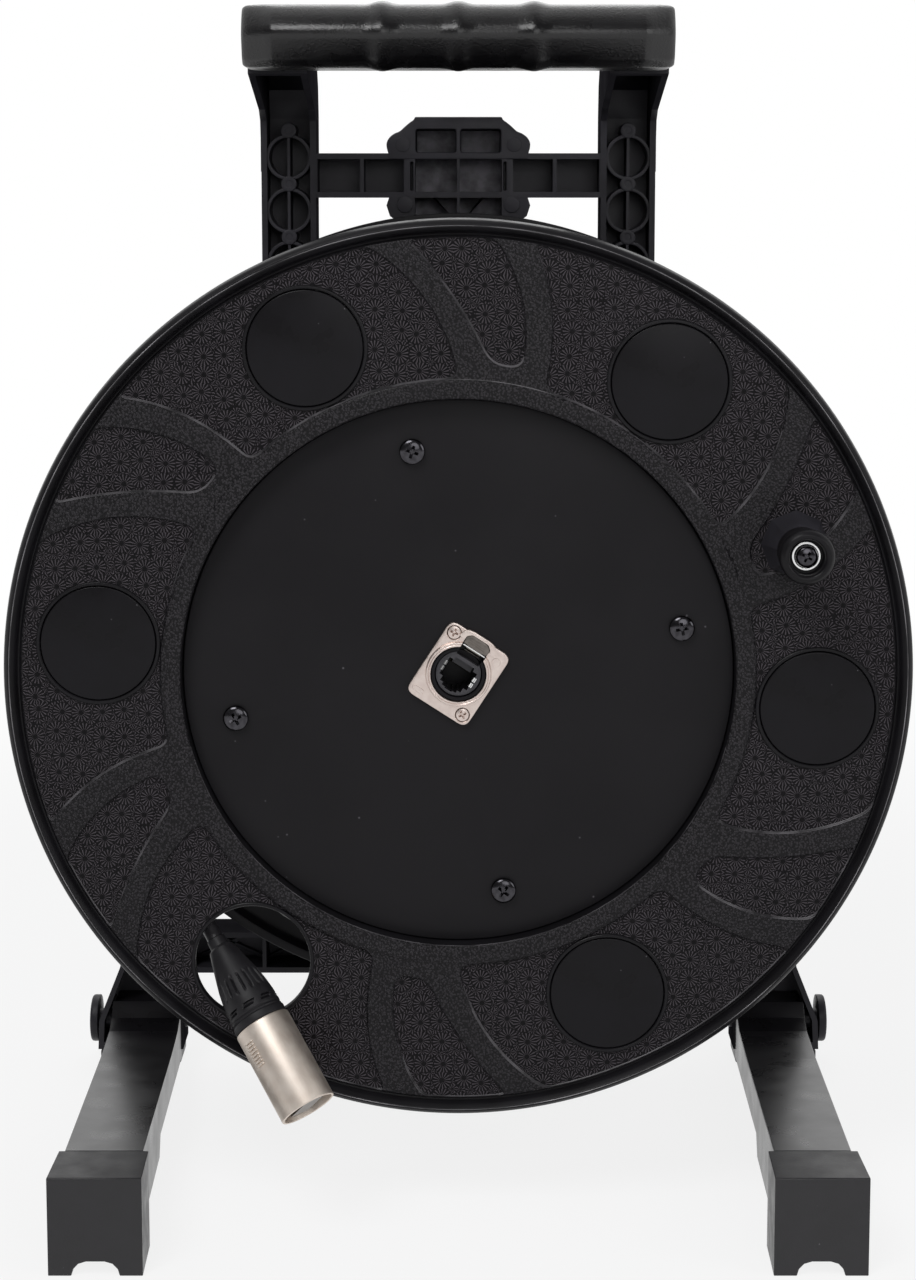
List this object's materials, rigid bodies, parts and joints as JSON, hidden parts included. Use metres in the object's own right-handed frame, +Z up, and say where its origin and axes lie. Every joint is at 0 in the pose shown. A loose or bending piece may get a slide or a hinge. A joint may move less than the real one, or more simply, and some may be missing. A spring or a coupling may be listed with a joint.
{
  "type": "network cable reel",
  "caption": "Carry-handle cable reel whose drum turns on a leaning stand, with a panel network socket, a crank knob and a plug on the cable's end.",
  "frame": {"origin": "on the ground, under the middle of the stand's outer box", "axes": "+Z up, +Y from the socket side towards the back frame, +X to the right seen from the socket side"},
  "size_m": [0.33, 0.244, 0.4487],
  "materials": {
    "flange": "fine grain",
    "panel": "satin",
    "frame": "satin",
    "grip": "semi-gloss",
    "rubber": "matte",
    "cable": "satin",
    "nickel": "satin nickel",
    "steel": "zinc plated",
    "black_screw": "blackened",
    "insert": "matte",
    "bush": "matte",
    "clear": "glossy"
  },
  "bodies": {
    "stand": {"back_frame": "frame", "handle_grip": "grip", "handle_screw_1": "steel", "handle_screw_2": "steel", "leg_left": "frame", "leg_right": "frame", "leg_bolt_left": "frame", "leg_bolt_right": "frame", "foot_front_left": "rubber", "foot_front_right": "rubber", "foot_rear_left": "rubber", "foot_rear_right": "rubber", "axle_bolt": "steel", "axle_washer": "steel", "axle_nut": "steel"},
    "drum": {"front_flange": "flange", "rear_flange": "flange", "barrel": "flange", "hole_plug_1": "panel", "hole_plug_2": "panel", "hole_plug_3": "panel", "hole_plug_4": "panel", "hole_plug_5": "panel", "centre_panel": "panel", "panel_screw_1": "black_screw", "panel_screw_2": "black_screw", "panel_screw_3": "black_screw", "panel_screw_4": "black_screw", "tie_bolt_1": "steel", "tie_bolt_2": "steel", "tie_bolt_3": "steel", "tie_bolt_4": "steel", "socket_plate": "nickel", "socket_housing": "frame", "socket_insert": "insert", "socket_screw_1": "nickel", "socket_screw_2": "nickel", "knob_base": "frame", "knob_sleeve": "steel", "knob_washer": "steel", "knob_screw": "black_screw", "knob_nut": "steel", "cable_core": "cable", "cable_winding": "cable", "cable_tail": "cable", "plug_boot": "frame", "plug_collar": "frame", "plug_shell": "nickel", "plug_insert": "insert", "inner_plug": "clear", "inner_lead": "cable", "hub_bush_front": "bush", "hub_bush_rear": "bush"},
    "knob": {"knob_grip": "grip"},
    "latch": {"socket_latch": "frame"},
    "brake_screw": {"brake_knob": "frame", "brake_rod": "steel"},
    "brake_pad": {"brake_shoe": "rubber"}
  },
  "joints": [
    {"name": "drum_spin", "type": "hinge", "parent": "stand", "child": "drum", "pos_m": [0, 0, 0.203], "axis": [0, 1, 0], "continuous": true},
    {"name": "knob_spin", "type": "hinge", "parent": "drum", "child": "knob", "pos_m": [0.12116, -0.093, 0.25121], "axis": [0, 1, 0], "continuous": true},
    {"name": "latch_push", "type": "slide", "parent": "drum", "child": "latch", "axis": [0, 1, 0], "range_m": [0, 0.0012], "stiffness_N_per_m": 800, "springref_m": -0.0004},
    {"name": "brake_turn", "type": "hinge", "parent": "stand", "child": "brake_screw", "pos_m": [0, 0.11, 0.137], "axis": [0, 1, 0], "range_deg": [0, 360]},
    {"name": "brake_press", "type": "slide", "parent": "stand", "child": "brake_pad", "axis": [0, -1, 0], "range_m": [0, 0.0012]}
  ],
  "couplings": [
    {"joint": "brake_press", "follows": "brake_turn", "m_per_rad": 0.00019098}
  ]
}
